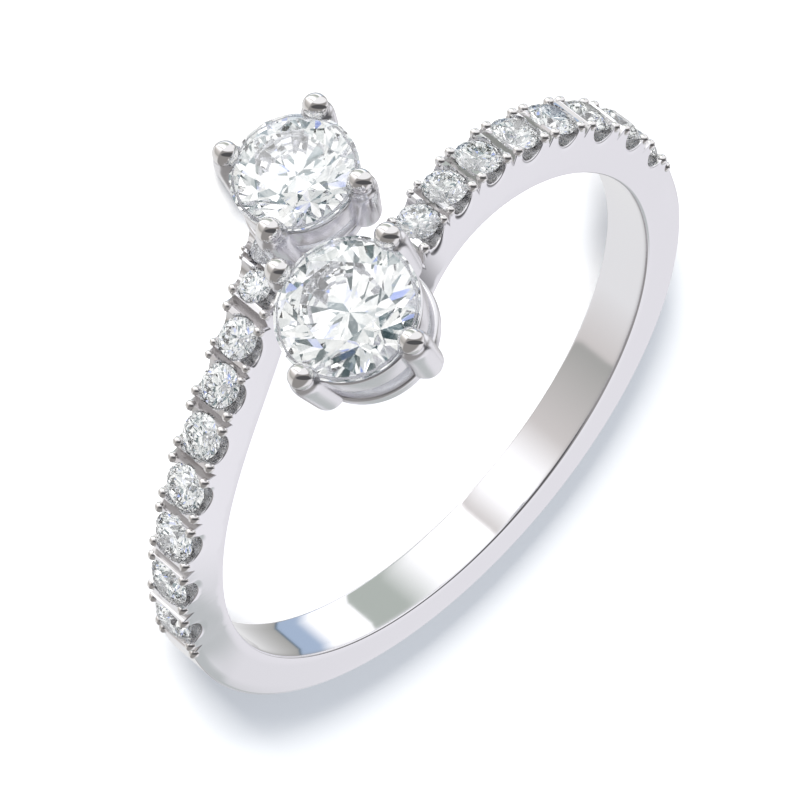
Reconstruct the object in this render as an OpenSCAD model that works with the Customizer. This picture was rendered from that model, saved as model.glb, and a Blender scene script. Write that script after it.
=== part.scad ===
// Toi et moi ring: two round brilliants of different size side by side on the front of a
// slim band. The shoulders swing apart like a wave, one to each stone, and carry a row of
// small brilliants in open U cuts. Each main stone stands in a basket with four ball prongs.
// The ring lies on its side as it would rest by itself, on a prong foot and on the far
// edge of the band. The origin is the centre of the finger hole. All sizes in millimetres.

/* [Finger hole and band] */
// Radius of the finger hole
finger_r = 8.25; // [7.2:0.05:10.5]
// Width of the band, measured along the finger
band_w = 1.65; // [1.5:0.05:2.3]
// Thickness of the band at the back
back_t = 1.3; // [1:0.05:2]
// Thickness of the band at the front
front_t = 1.5; // [1.3:0.05:2.1]

/* [Shoulder wave] */
// How far each shoulder swings past the centre of its main stone
wave_over = 0.12; // [-0.2:0.02:0.3]
// Angle in degrees over which the swing fades to a third
wave_run = 20; // [14:1:28]

/* [Main stones] */
// Girdle diameter of the large stone
large_d = 4; // [3.4:0.1:4.8]
// Girdle diameter of the small stone
small_d = 3.5; // [3:0.1:4.4]
// Height of both culets above the finger hole
culet_lift = 1.27; // [1:0.01:1.8]
// Lean in degrees of the line through both stones, around the finger
pair_lean = 26; // [15:1:35]
// Position in degrees of the middle of the pair around the finger
pair_angle = -2.4; // [-6:0.2:2]
// Position of the middle of the pair along the finger
pair_side = 0.05; // [-0.3:0.05:0.3]
// Turn in degrees of the large stone's prongs
large_turn = 10.2; // [0:0.2:22]
// Turn in degrees of the small stone's prongs
small_turn = 26.4; // [14:0.2:40]
// Width of the table as a share of the girdle
table_share = 0.57; // [0.5:0.01:0.65]
// Clearance between each stone and the metal
stone_gap = 0.02; // [0.01:0.005:0.05]

/* [Prongs] */
// Diameter of the ball at each prong's tip
tip_d = 0.7; // [0.5:0.05:0.9]
// Diameter of each prong below its ball
foot_d = 0.94; // [0.7:0.02:1.1]
// Distance of the ball's centre outside the girdle
tip_out = 0.15; // [0.05:0.01:0.25]
// Height of the ball's centre above the girdle
tip_rise = 0.25; // [0.15:0.01:0.35]
// Distance from the ball's centre down to where the prong reaches its full width
shoulder_drop = 0.5; // [0.4:0.05:0.7]
// How far each prong leans inward at its foot
prong_lean = 0.2; // [0:0.05:0.4]
// Height of the middle of the rounded foot above the finger hole
foot_lift = 1.45; // [1.3:0.05:1.7]

/* [Basket rails] */
// Distance of the upper rail below the girdle
upper_drop = 0.25; // [0.15:0.01:0.4]
// Height of the upper rail
upper_h = 0.8; // [0.4:0.05:1]
// Wall of the upper rail
upper_t = 0.4; // [0.3:0.05:0.6]
// Height of the lower rail's underside above the finger hole
lower_lift = 1; // [0.7:0.05:1.2]
// Height of the lower rail
lower_h = 0.4; // [0.3:0.05:0.6]
// Wall of the lower rail
lower_t = 0.45; // [0.3:0.05:0.6]
// Width of the bridge that joins the two baskets under the stones
bridge_w = 1.7; // [1:0.1:2.4]

/* [Pave rows] */
// Girdle diameter of the largest pave stone
pave_d = 1.4; // [1.2:0.02:1.44]
// Space between pave stones where the row is evenly spaced
pave_gap = 0.3; // [0.24:0.02:0.4]
// Depth of the pave girdles below the surface of the band
pave_sink = 0.13; // [0.05:0.01:0.2]
// Space from the large stone's girdle to the middle of the first pave stone beside it
large_row_start = 1.16; // [1.1:0.02:1.6]
// Diameter of the beads that hold the pave stones
bead_d = 0.32; // [0.24:0.02:0.4]
// Distance of the middle of the beads from the side of the band
bead_in = 0.22; // [0.2:0.01:0.3]
// Width of the V cut in each pillar between two stones, where the pillar is wide enough
vee_w = 0.3; // [0.16:0.02:0.4]
// Depth of that V cut
vee_depth = 0.34; // [0.2:0.02:0.5]
// Widest V cut and widest bead, as shares of half the pillar
vee_share = 0.45; // [0.3:0.05:0.6]
bead_share = 0.55; // [0.4:0.05:0.7]
// Radius of the U cuts, as a share of the stone's diameter
cut_share = 0.36; // [0.3:0.01:0.4]

/* [Hidden] */
$fn = 72;

metal_colour = [0.86, 0.86, 0.89];
stone_colour = [0.78, 0.88, 0.97];

// Proportions of a round brilliant, as shares of its girdle diameter, and its two angles.
girdle_share = 0.025;
crown_angle = 34.5;
pavilion_angle = 40.75;

// Small fixed sizes. The upper rail lies a little inside the girdle and both rails have
// broken edges. The windows leave a lip of the lower rail's wall, and the bridge ends below the
// rail's top. Beads sink into the band. The U cuts start just below the band's surface.
rail_inset = 0.02;
upper_edge = 0.06;
lower_edge = 0.07;
window_lip = 1.2;
bridge_share = 0.8;
bead_sink = 0.4;
cut_start = 0.02;
cut_reach = 0.7;

function crown_h(d) = (d - d * table_share) / 2 * tan(crown_angle);
function pavilion_h(d) = d / 2 * tan(pavilion_angle);
function girdle_h(d) = d * girdle_share;

// The band's outside is a circle set a little towards the front, so that the front is thicker.
outer_r = finger_r + (front_t + back_t) / 2;
outer_shift = (front_t - back_t) / 2;
wave_r = (finger_r + outer_r) / 2;
function top_r(a) = outer_shift * cos(a) + sqrt(outer_r ^ 2 - (outer_shift * sin(a)) ^ 2);

// The two main stones stand one ball apart, on a line that leans around the finger.
pair_space = (large_d + small_d) / 2 + tip_d;
large_girdle = finger_r + culet_lift + pavilion_h(large_d) + girdle_h(large_d) / 2;
small_girdle = finger_r + culet_lift + pavilion_h(small_d) + girdle_h(small_d) / 2;
pair_arc = asin(pair_space * sin(pair_lean) / 2 / small_girdle);
large_angle = pair_angle + pair_arc;
small_angle = pair_angle - pair_arc;
large_side = pair_side + pair_space * cos(pair_lean) / 2;
small_side = pair_side - pair_space * cos(pair_lean) / 2;

// Height of the middle of the shoulder that leads to the small stone, at distance x from the
// ring's middle plane. It fades to nothing where the finger hole is widest. The shoulder that
// leads to the large stone is the same one turned over.
wave_rise = (large_side - small_side) / 2 + wave_over;
wave_last = asin(finger_r / wave_r);
wave_end = exp(-wave_last / wave_run);
function swing(a) = wave_rise * (exp(-min(wave_last, max(0, a)) / wave_run) - wave_end)
    / (1 - wave_end);
function mid_z(x) = -swing(asin(min(1, max(-1, x / wave_r))));

// Pave stones from the head outward: share of pave_d, share of pave_gap up to the next one.
PAVE = [[0.57, 0.17], [0.65, 1.1], [0.82, 0.45], [0.86, 0.8], [0.91, 1], [0.96, 1.02],
    [1, 1.38], [1, 1.83], [1, 1.42], [0.96, 1.4]];
small_row_count = 9;
large_row_first = 2;
large_row_count = 8;
pave_r = finger_r + front_t - pave_sink;
function pave_size(i) = pave_d * PAVE[i][0];
function pave_step(i) = (pave_size(i) + pave_size(i + 1)) / 2 + pave_gap * PAVE[i][1];
function arc(s) = s / pave_r * 180 / PI;
// One row starts at the small stone's girdle, the other one beside the large stone.
small_row_zero = small_angle + arc(small_d / 2);
large_row_zero = -large_angle + arc(large_d / 2 + large_row_start);
function small_row_angle(i) = i == 0 ? small_row_zero : small_row_angle(i - 1) + arc(pave_step(i - 1));
function large_row_angle(i) = i == large_row_first ? large_row_zero
    : large_row_angle(i - 1) + arc(pave_step(i - 1));

// Rest pose: the ring lies on the lowest prong of the small stone and on the band's far edge.
// Each entry is one round of one prong: how far around, along and out, and its radius.
small_tip_r = small_d / 2 + tip_out;
small_prong_h = small_girdle + tip_rise - finger_r - foot_lift;
prong_ends = [for (k = [0:3], down = [0, shoulder_drop, small_prong_h])
    let (a = small_turn + 90 * k, q = small_tip_r - prong_lean * down / small_prong_h)
        [q * cos(a), q * sin(a), small_girdle + tip_rise - down, (down == 0 ? tip_d : foot_d) / 2]];
tilts = [for (e = prong_ends)
    let (across = finger_r + back_t + norm([e[0], e[2]]), down = -(e[1] + small_side + band_w / 2))
        atan2(down, across) + asin(e[3] / norm([across, down]))];
rest_tilt = max(tilts);
low_end = prong_ends[search(rest_tilt, tilts)[0]];
rest_turn = -small_angle - atan2(low_end[0], low_end[2]);
// The circle of the band's outside begins beside the point on which the band rests.
seam_turn = 90.93 - rest_turn;
module rest() {
    rotate([-rest_tilt, 0, 0]) rotate([0, 0, rest_turn]) children();
}

// Places its children on the ring: x runs around the finger, y along it and z outward.
module on_ring(angle, side) {
    rotate([0, 0, angle]) translate([0, 0, side]) rotate([90, 0, 0]) children();
}

// Round brilliant with its girdle's middle at z = 0: table, 8 stars, 8 kites, 16 upper
// halves, 16 girdle faces, 16 lower halves and 8 pavilion mains.
module brilliant(d) {
    r = d / 2;
    rt = r * table_share;
    top = girdle_h(d) / 2;
    slope = tan(crown_angle);
    down = tan(pavilion_angle);
    star = rt * cos(22.5) + 0.5 * (r - rt * cos(22.5));
    low = r * 0.23;
    culet = -top - r * down;
    points = concat(
        [for (k = [0:7]) [rt * cos(45 * k), rt * sin(45 * k), top + (r - rt) * slope]],
        [for (k = [0:7]) let (a = 45 * k + 22.5)
            [star * cos(a), star * sin(a), top + (r - star * cos(22.5)) * slope]],
        [for (k = [0:15]) [r * cos(22.5 * k), r * sin(22.5 * k), top]],
        [for (k = [0:15]) [r * cos(22.5 * k), r * sin(22.5 * k), -top]],
        [for (k = [0:7]) let (a = 45 * k + 22.5)
            [low * cos(a), low * sin(a), culet + low * cos(22.5) * down]],
        [[0, 0, culet]]);
    faces = concat(
        [[for (k = [0:7]) 7 - k]],
        [for (k = [0:7]) [k, (k + 1) % 8, 8 + k]],
        [for (k = [0:7]) [k, 8 + k, 16 + 2 * k, 8 + (k + 7) % 8]],
        [for (k = [0:7]) [8 + k, 17 + 2 * k, 16 + 2 * k]],
        [for (k = [0:7]) [8 + k, 16 + (2 * k + 2) % 16, 17 + 2 * k]],
        [for (k = [0:15]) [16 + k, 16 + (k + 1) % 16, 32 + (k + 1) % 16, 32 + k]],
        [for (k = [0:7]) [48 + k, 32 + 2 * k, 33 + 2 * k]],
        [for (k = [0:7]) [48 + k, 33 + 2 * k, 32 + (2 * k + 2) % 16]],
        [for (k = [0:7]) [56, 48 + (k + 7) % 8, 32 + 2 * k, 48 + k]]);
    polyhedron(points, faces, convexity = 2);
}

// Space that a stone takes up in the metal: its outline turned round, with the clearance.
module stone_seat(d, open_top) {
    r = d / 2 + stone_gap;
    g = girdle_h(d) / 2 + stone_gap;
    h = crown_h(d);
    rt = r - h / tan(crown_angle);
    rotate_extrude() polygon([[0, -g - r * tan(pavilion_angle)], [r, -g], [r, g], [rt, g + h],
        [rt, g + h + open_top], [0, g + h + open_top]]);
}

// A prong turned about its own axis: a peg with a rounded foot at z = 0 and a rounded shoulder,
// and the ball of its tip at z = h, which meets the shoulder in a sharp neck.
module prong(h, foot_r, tip_r) {
    neck = (tip_r ^ 2 - foot_r ^ 2 + shoulder_drop ^ 2) / (2 * shoulder_drop);
    rotate_extrude($fn = 48) polygon(concat(
        [[0, -foot_r]],
        [for (a = [-75:15:0]) [foot_r * cos(a), foot_r * sin(a)]],
        [for (a = [0:15:45]) [foot_r * cos(a), h - shoulder_drop + foot_r * sin(a)]],
        [[sqrt(tip_r ^ 2 - neck ^ 2), h - neck]],
        [for (a = [-15:15:75]) [tip_r * cos(a), h + tip_r * sin(a)]],
        [[0, h + tip_r]]));
}

module prongs(d, girdle, turn) {
    tip = d / 2 + tip_out;
    rise = girdle + tip_rise - finger_r - foot_lift;
    for (k = [0:3])
        rotate([0, 0, turn + 90 * k])
            translate([tip - prong_lean, 0, finger_r + foot_lift])
                rotate([0, atan2(prong_lean, rise), 0])
                    prong(norm([prong_lean, rise]), foot_d / 2, tip_d / 2);
}

module upper_rail(d, girdle) {
    r = d / 2 - rail_inset;
    z = girdle - upper_drop;
    c = upper_edge;
    rotate_extrude() polygon([[r - upper_t, z], [r - c, z], [r, z - c],
        [r - c, z - upper_h + c], [r - 2 * c, z - upper_h], [r - c - upper_t, z - upper_h]]);
}

function lower_r(d) = d / 2 + tip_out - prong_lean;

module lower_rail(d) {
    r = lower_r(d);
    z = finger_r + lower_lift;
    c = lower_edge;
    rotate_extrude() polygon([[r - lower_t, z], [r - c, z], [r, z + c], [r, z + lower_h - c],
        [r - c, z + lower_h], [r - lower_t, z + lower_h]]);
}

module head(d, girdle, turn) {
    prongs(d, girdle, turn);
    upper_rail(d, girdle);
    lower_rail(d);
}

// Outline of one shoulder seen from the front, from its main stone to the side of the ring.
module shoulder_outline(from) {
    xs = concat([wave_r * sin(from)], [for (i = [1:23]) wave_r * sin(wave_last * i / 23)],
        [outer_r + 1]);
    polygon(concat(
        [for (x = xs) [x, mid_z(x) - band_w / 2]],
        [for (i = [len(xs) - 1:-1:0]) [xs[i], mid_z(xs[i]) + band_w / 2]]));
}

// Stands an outline drawn in x and z on its edge, so that it reaches from y = 0 to the front.
module frontward() {
    rotate([90, 0, 0]) linear_extrude(finger_r + front_t + 2) children();
}

module hoop(radius_out, shift) {
    tall = 2 * (wave_rise + band_w);
    difference() {
        translate([0, -shift, 0]) rotate([0, 0, seam_turn])
            cylinder(h = tall, r = radius_out, center = true, $fn = 180);
        cylinder(h = tall + 2, r = finger_r, center = true, $fn = 180);
    }
}

// The plain shank behind, both shoulders in front, and the windows under the main stones.
module band() {
    difference() {
        intersection() {
            hoop(outer_r, outer_shift);
            union() {
                translate([-outer_r - 2, 0, -band_w / 2])
                    cube([2 * outer_r + 4, outer_r + 2, band_w]);
                frontward() shoulder_outline(small_angle);
                rotate([0, 180, 0]) frontward() shoulder_outline(-large_angle);
            }
        }
        on_ring(large_angle, large_side) window(large_d);
        on_ring(small_angle, small_side) window(small_d);
    }
}

module window(d) {
    cylinder(h = finger_r + front_t + 2, r = lower_r(d) - lower_t * window_lip);
}

// A low curved bar from basket to basket, open to the finger under each stone.
module bridge() {
    difference() {
        intersection() {
            hoop(finger_r + lower_lift + lower_h * bridge_share, 0);
            frontward() polygon([for (s = [[-1, -1], [-1, 1], [1, 1], [1, -1]])
                let (end = s[0] > 0 ? [large_angle, large_side] : [small_angle, small_side])
                    [finger_r * sin(end[0]) - s[1] * bridge_w / 2 * cos(pair_lean),
                     end[1] + s[1] * bridge_w / 2 * sin(pair_lean)]]);
        }
        on_ring(large_angle, large_side) window(large_d);
        on_ring(small_angle, small_side) window(small_d);
    }
}

// Middle of a pave stone's girdle, and the same place between stones.
module at_pave(a, drop = 0) {
    on_ring(a, mid_z(top_r(a) * sin(a))) translate([0, 0, top_r(a) - drop]) children();
}

// The U cut that opens both sides of the band below a stone.
module u_cut(d) {
    r = d * cut_share;
    wide = band_w + 2 * cut_reach;
    translate([0, 0, -cut_start]) rotate([90, 0, 0]) cylinder(h = wide, r = r, center = true);
    translate([-r * 0.995, -wide / 2, -cut_start]) cube([r * 1.99, wide, 0.5]);
}

// The V cut between two stones, across the band, narrower where the pillar is thin.
function vee_half(half) = min(vee_w / 2, vee_share * half);
module vee_cut(half) {
    v = vee_half(half);
    depth = vee_depth * v / (vee_w / 2);
    rotate([90, 0, 0]) linear_extrude(band_w + 2 * cut_reach, center = true)
        polygon([[0, -depth], [2 * v, depth], [-2 * v, depth]]);
}

// Pillars as angle and half width: what the U cuts leave between neighbours, and one past each
// end of a row.
end_half = vee_w / 2 + bead_d * 0.6;
function end_pillar(angle, size, way) = [angle + way * arc(size / 2 + pave_gap * 0.6), end_half];
function pillars(angles, sizes) = let (n = len(angles)) concat(
    [for (i = [0:n - 2])
        let (a = angles[i] + arc(cut_share * sizes[i]), b = angles[i + 1] - arc(cut_share * sizes[i + 1]))
            [(a + b) / 2, (b - a) / 2 / arc(1)]],
    [end_pillar(angles[n - 1], sizes[n - 1], 1)]);
small_row_angles = [for (i = [0:small_row_count - 1]) small_row_angle(i)];
large_row_angles = [for (i = [0:large_row_count - 1]) large_row_angle(i + large_row_first)];
small_row_sizes = [for (i = [0:small_row_count - 1]) pave_size(i)];
large_row_sizes = [for (i = [0:large_row_count - 1]) pave_size(i + large_row_first)];
small_row_pillars = pillars(small_row_angles, small_row_sizes);
large_row_pillars = concat([end_pillar(large_row_angles[0], large_row_sizes[0], -1)],
    pillars(large_row_angles, large_row_sizes));

// Everything that one row cuts from the band.
module row_cuts(angles, sizes, stops) {
    for (i = [0:len(angles) - 1]) at_pave(angles[i]) u_cut(sizes[i]);
    for (p = stops) at_pave(p[0]) vee_cut(p[1]);
}

// Two beads on each side of every pillar, midway between its V cut and the U cut beside it.
module row_beads(stops) {
    for (p = stops, s = [-1, 1], t = [-1, 1])
        let (r = min(bead_d / 2, bead_share * p[1]), b = p[0] + t * arc((vee_half(p[1]) + p[1]) / 2))
            at_pave(b, r * bead_sink) translate([0, s * (band_w / 2 - bead_in), 0]) sphere(r = r, $fn = 32);
}

module row_seats(angles, sizes) {
    for (i = [0:len(angles) - 1]) at_pave(angles[i], pave_sink) stone_seat(sizes[i], 0.3);
}

// Half a turn about the axis through the head, for the shoulder that leads to the large stone.
module turned() { rotate([0, 180, 0]) children(); }

module metal() {
    color(metal_colour) rest() difference() {
        union() {
            difference() {
                band();
                row_cuts(small_row_angles, small_row_sizes, small_row_pillars);
                turned() row_cuts(large_row_angles, large_row_sizes, large_row_pillars);
            }
            bridge();
            on_ring(large_angle, large_side) head(large_d, large_girdle, large_turn);
            on_ring(small_angle, small_side) head(small_d, small_girdle, small_turn);
            row_beads(small_row_pillars);
            turned() row_beads(large_row_pillars);
        }
        on_ring(large_angle, large_side) translate([0, 0, large_girdle]) stone_seat(large_d, 0.3);
        on_ring(small_angle, small_side) translate([0, 0, small_girdle]) stone_seat(small_d, 0.3);
        row_seats(small_row_angles, small_row_sizes);
        turned() row_seats(large_row_angles, large_row_sizes);
    }
}

module large_stone() {
    color(stone_colour) rest() on_ring(large_angle, large_side)
        translate([0, 0, large_girdle]) rotate([0, 0, large_turn]) brilliant(large_d);
}

module small_stone() {
    color(stone_colour) rest() on_ring(small_angle, small_side)
        translate([0, 0, small_girdle]) rotate([0, 0, small_turn]) brilliant(small_d);
}

module row_to_small(i) {
    color(stone_colour) rest() at_pave(small_row_angles[i - 1], pave_sink)
        brilliant(small_row_sizes[i - 1]);
}

module row_to_large(i) {
    color(stone_colour) rest() turned() at_pave(large_row_angles[i - 1], pave_sink)
        brilliant(large_row_sizes[i - 1]);
}

metal();
large_stone();
small_stone();
row_to_small(1);  // row_to_small_1
row_to_small(2);  // row_to_small_2
row_to_small(3);  // row_to_small_3
row_to_small(4);  // row_to_small_4
row_to_small(5);  // row_to_small_5
row_to_small(6);  // row_to_small_6
row_to_small(7);  // row_to_small_7
row_to_small(8);  // row_to_small_8
row_to_small(9);  // row_to_small_9
row_to_large(1);  // row_to_large_1
row_to_large(2);  // row_to_large_2
row_to_large(3);  // row_to_large_3
row_to_large(4);  // row_to_large_4
row_to_large(5);  // row_to_large_5
row_to_large(6);  // row_to_large_6
row_to_large(7);  // row_to_large_7
row_to_large(8);  // row_to_large_8
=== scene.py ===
# %% [markdown]
# # A toi et moi ring
# model.glb holds the ring's CAD solids: one soldered metal solid and nineteen stones. We load it
# as a fixed frame and then dress it. In Blender a fixed frame could also be rebuilt by eye, but
# loading it keeps every size true, so each new surface below starts from the same numbers.

import bpy
import numpy as np
from mathutils import Matrix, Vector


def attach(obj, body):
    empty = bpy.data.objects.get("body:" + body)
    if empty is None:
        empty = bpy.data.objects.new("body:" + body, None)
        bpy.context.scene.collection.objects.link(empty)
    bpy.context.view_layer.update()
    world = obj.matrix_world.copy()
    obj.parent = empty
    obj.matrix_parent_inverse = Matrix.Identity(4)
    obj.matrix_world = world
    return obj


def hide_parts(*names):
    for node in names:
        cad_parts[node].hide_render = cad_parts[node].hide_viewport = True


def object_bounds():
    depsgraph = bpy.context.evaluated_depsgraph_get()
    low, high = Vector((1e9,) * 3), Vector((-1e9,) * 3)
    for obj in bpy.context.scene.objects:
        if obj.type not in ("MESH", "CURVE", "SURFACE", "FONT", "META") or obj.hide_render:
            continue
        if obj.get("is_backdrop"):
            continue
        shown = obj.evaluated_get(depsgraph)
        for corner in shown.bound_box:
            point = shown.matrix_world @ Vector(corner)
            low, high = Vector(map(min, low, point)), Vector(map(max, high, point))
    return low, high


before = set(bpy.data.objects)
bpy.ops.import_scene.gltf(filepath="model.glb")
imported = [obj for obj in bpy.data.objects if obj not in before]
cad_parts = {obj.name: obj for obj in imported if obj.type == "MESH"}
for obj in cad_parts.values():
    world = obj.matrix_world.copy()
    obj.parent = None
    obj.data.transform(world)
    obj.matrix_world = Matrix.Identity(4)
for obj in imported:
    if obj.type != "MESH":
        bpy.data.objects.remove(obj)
cad_low, cad_high = (np.array(corner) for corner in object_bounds())
print("ring box in mm:", np.round((cad_high - cad_low) * 1000, 2))

# %% [markdown]
# ## The goldsmith's sizes
# A jeweller writes the sizes on one card before cutting wax. We do the same, in millimetres and
# degrees, in the ring's own frame: the finger hole's axis is Z and the stones face -Y. Two
# shoulders swing to opposite sides, and a fading exponential gives that swing a soft start
# and a strong finish, which a circle arc or a sine would not.

# %% Sizes of the hoop, the shoulders and the stones
HOLE_R, BAND_W, BACK_T, FRONT_T = 8.25, 1.65, 1.3, 1.5
OUTER_R, OUTER_SHIFT = HOLE_R + (FRONT_T + BACK_T) / 2, (FRONT_T - BACK_T) / 2
LARGE_D, SMALL_D, TABLE_SHARE, GIRDLE_SHARE = 4.0, 3.5, 0.57, 0.025
CROWN, PAVILION = np.tan(np.radians(34.5)), np.tan(np.radians(40.75))
TIP_R, TIP_OUT, TIP_RISE = 0.35, 0.15, 0.25
FOOT_R, FOOT_LIFT, SHOULDER_DROP, PRONG_LEAN = 0.47, 1.45, 0.5, 0.2
CULET_LIFT, PAIR_LEAN, PAIR_ANGLE, PAIR_SIDE = 1.27, np.radians(26), -2.4, 0.05
LARGE_TURN, SMALL_TURN = 10.2, 26.4

pair_space = (LARGE_D + SMALL_D) / 2 + 2 * TIP_R


def girdle_height(d):
    """Distance of a main stone's girdle from the finger's axis: culet height plus pavilion."""
    return HOLE_R + CULET_LIFT + d / 2 * PAVILION + d * GIRDLE_SHARE / 2


large_girdle, small_girdle = girdle_height(LARGE_D), girdle_height(SMALL_D)
pair_arc = np.degrees(np.arcsin(pair_space * np.sin(PAIR_LEAN) / 2 / small_girdle))
large_angle, small_angle = PAIR_ANGLE + pair_arc, PAIR_ANGLE - pair_arc
large_side = PAIR_SIDE + pair_space * np.cos(PAIR_LEAN) / 2
small_side = PAIR_SIDE - pair_space * np.cos(PAIR_LEAN) / 2
SWING_OVER, SWING_RUN = 0.12, 20.0
swing_rise = (large_side - small_side) / 2 + SWING_OVER
middle_r = (HOLE_R + OUTER_R) / 2
swing_last = np.degrees(np.arcsin(HOLE_R / middle_r))
print("large stone at", round(large_angle, 2), "deg, small stone at", round(small_angle, 2), "deg")

# %% [markdown]
# ## Two rules of the hoop
# `swing` says how far a shoulder has moved sideways and `top_radius` how far out the metal goes.
# A bent curve with a bevel could carry the band too, but plain formulas can be asked anywhere,
# so the stones, the beads and the cuts all find their places from the same two rules.

# %% Swing and outer radius
def swing(angle):
    """Sideways move at an angle from the head: an exponential fade, brought to zero at the sides."""
    end = np.exp(-swing_last / SWING_RUN)
    fade = np.exp(-np.clip(angle, 0, swing_last) / SWING_RUN)
    return swing_rise * (fade - end) / (1 - end)


def shoulder_middle(x, side):
    """Middle of a shoulder along the finger at distance x from the middle plane; side is -1 or 1."""
    return side * swing(np.degrees(np.arcsin(np.clip(-side * x / middle_r, -1, 1))))


def top_radius(angle):
    """Outer radius of the band: a circle whose centre is moved a little towards the head."""
    a = np.radians(angle)
    return OUTER_SHIFT * np.cos(a) + np.sqrt(OUTER_R ** 2 - (OUTER_SHIFT * np.sin(a)) ** 2)


print("swing beside the head:", round(float(swing(0.0)), 2), "mm to each side")

# %% [markdown]
# ## How the ring lies
# Put on a table, the ring rests on the far edge of its band and on one prong of the lower
# stone. A physics run would find that pose too, but slowly; here it follows from the sizes:
# the line from the band's edge to the round of each prong gives a tilt, and the largest wins.

# %% Rest pose, and places on the hoop
def low_prong_end():
    """The round of a small stone's prong that touches the table: (tilt, place) in degrees."""
    best = (-90.0, 0.0)
    tall = small_girdle + TIP_RISE - HOLE_R - FOOT_LIFT
    for k in range(4):
        a = np.radians(SMALL_TURN + 90 * k)
        for drop, r in ((0, TIP_R), (SHOULDER_DROP, FOOT_R), (tall, FOOT_R)):
            q = SMALL_D / 2 + TIP_OUT - PRONG_LEAN * drop / tall
            out = small_girdle + TIP_RISE - drop
            across = HOLE_R + BACK_T + np.hypot(q * np.cos(a), out)
            down = -(q * np.sin(a) + small_side + BAND_W / 2)
            tilt = np.arctan2(down, across) + np.arcsin(r / np.hypot(across, down))
            best = max(best, (np.degrees(tilt), np.degrees(np.arctan2(q * np.cos(a), out))))
    return best


rest_tilt, low_place = low_prong_end()
rest_turn = -small_angle - low_place


def turn_matrix(axis, degrees):
    """Rotation matrix about X (axis 0) or Z (axis 2), by the right-hand rule."""
    c, s = np.cos(np.radians(degrees)), np.sin(np.radians(degrees))
    if axis == 0:
        return np.array([[1, 0, 0], [0, c, -s], [0, s, c]])
    return np.array([[c, -s, 0], [s, c, 0], [0, 0, 1]])


REST = turn_matrix(0, -rest_tilt) @ turn_matrix(2, rest_turn)


def to_rest(points):
    """Ring frame in millimetres to the table in metres: turn about Z, tilt about X, divide by 1000."""
    return points @ REST.T / 1000


def on_ring(points, angle, side):
    """Local x runs around the finger, y along it and z outward: stand it at an angle on the hoop."""
    c, s = np.cos(np.radians(angle)), np.sin(np.radians(angle))
    x, y, z = points[..., 0], points[..., 1], points[..., 2]
    return np.stack([x * c + z * s, x * s - z * c, y + side], axis=-1)


print("rests tilted by", round(rest_tilt, 2), "deg, turned by", round(rest_turn, 2), "deg")

# %% [markdown]
# ## The camera
# The photograph was taken close up with a long lens. Azimuth, height above the ring's plane,
# roll, distance and lens were fitted to the outline of the hoop and the eight prong balls. The
# ring lies on its side here, so the camera takes the same turn as the ring and keeps its view.

# %% Camera at the photograph's viewing angle
def camera_axes(azimuth, height, roll):
    """Right, up and backward axes of a camera that circles the ring and is then rolled."""
    a, e, o = np.radians([azimuth, height, roll])
    back = np.array([np.sin(a) * np.cos(e), -np.cos(a) * np.cos(e), np.sin(e)])
    right = np.array([np.cos(a), np.sin(a), 0.0])
    up = np.cross(back, right)
    return np.cos(o) * right + np.sin(o) * up, -np.sin(o) * right + np.cos(o) * up, back


CAM_AZIMUTH, CAM_HEIGHT, CAM_ROLL = 5.8, 25.72, -230.649
CAM_AWAY, CAM_LEFT, CAM_ABOVE, FOCUS_PIXELS = 139.02, 0.592, 0.063, 4965.0
cam_right, cam_up, cam_back = camera_axes(CAM_AZIMUTH, CAM_HEIGHT, CAM_ROLL)
cam_place = cam_back * CAM_AWAY - cam_right * CAM_LEFT + cam_up * CAM_ABOVE
camera_data = bpy.data.cameras.new("camera")
camera_data.sensor_width = 36.0
camera_data.lens = camera_data.sensor_width * FOCUS_PIXELS / 800
camera_data.clip_start, camera_data.clip_end = 0.01, 5.0
camera = bpy.data.objects.new("camera", camera_data)
bpy.context.scene.collection.objects.link(camera)
camera_turn = REST @ np.column_stack([cam_right, cam_up, cam_back])
pose = np.eye(4)
pose[:3, :3], pose[:3, 3] = camera_turn, to_rest(cam_place)
camera.matrix_world = Matrix(pose.tolist())
bpy.context.scene.camera = camera
height = float(np.degrees(np.arcsin(camera_turn[2, 2])))
print("camera stands", round(height, 1), "deg above the table")

# %% [markdown]
# ## Where the pave stones sit
# Each shoulder carries a row of small brilliants that grow away from the head. The row could be
# an array along a curve, but real rows are graded, so a short table gives every stone's size
# and the space to the next, as shares, and running sums give the angles.

# %% Layout of the two pave rows
PAVE_D, PAVE_GAP, PAVE_SINK, LARGE_START = 1.4, 0.3, 0.13, 1.16
SIZE_SHARE = np.array([0.57, 0.65, 0.82, 0.86, 0.91, 0.96, 1, 1, 1, 0.96])
GAP_SHARE = np.array([0.17, 1.1, 0.45, 0.8, 1, 1.02, 1.38, 1.83, 1.42, 1.4])
pave_sizes = PAVE_D * SIZE_SHARE
pave_steps = (pave_sizes[:-1] + pave_sizes[1:]) / 2 + PAVE_GAP * GAP_SHARE[:-1]
pave_r = HOLE_R + FRONT_T - PAVE_SINK


def arc(length):
    """Length along the pave girdles to degrees around the finger."""
    return np.degrees(length / pave_r)


def row(first, count, start):
    """Sizes and angles of one row: the first angle plus the running sum of the steps."""
    steps = pave_steps[first:first + count - 1]
    return pave_sizes[first:first + count], start + arc(np.concatenate([[0], np.cumsum(steps)]))


small_sizes, small_angles = row(0, 9, small_angle + arc(SMALL_D / 2))
large_sizes, large_angles = row(2, 8, -large_angle + arc(LARGE_D / 2 + LARGE_START))
CUT_SHARE, VEE_W, VEE_DEPTH, BEAD_R = 0.36, 0.3, 0.34, 0.16


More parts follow.
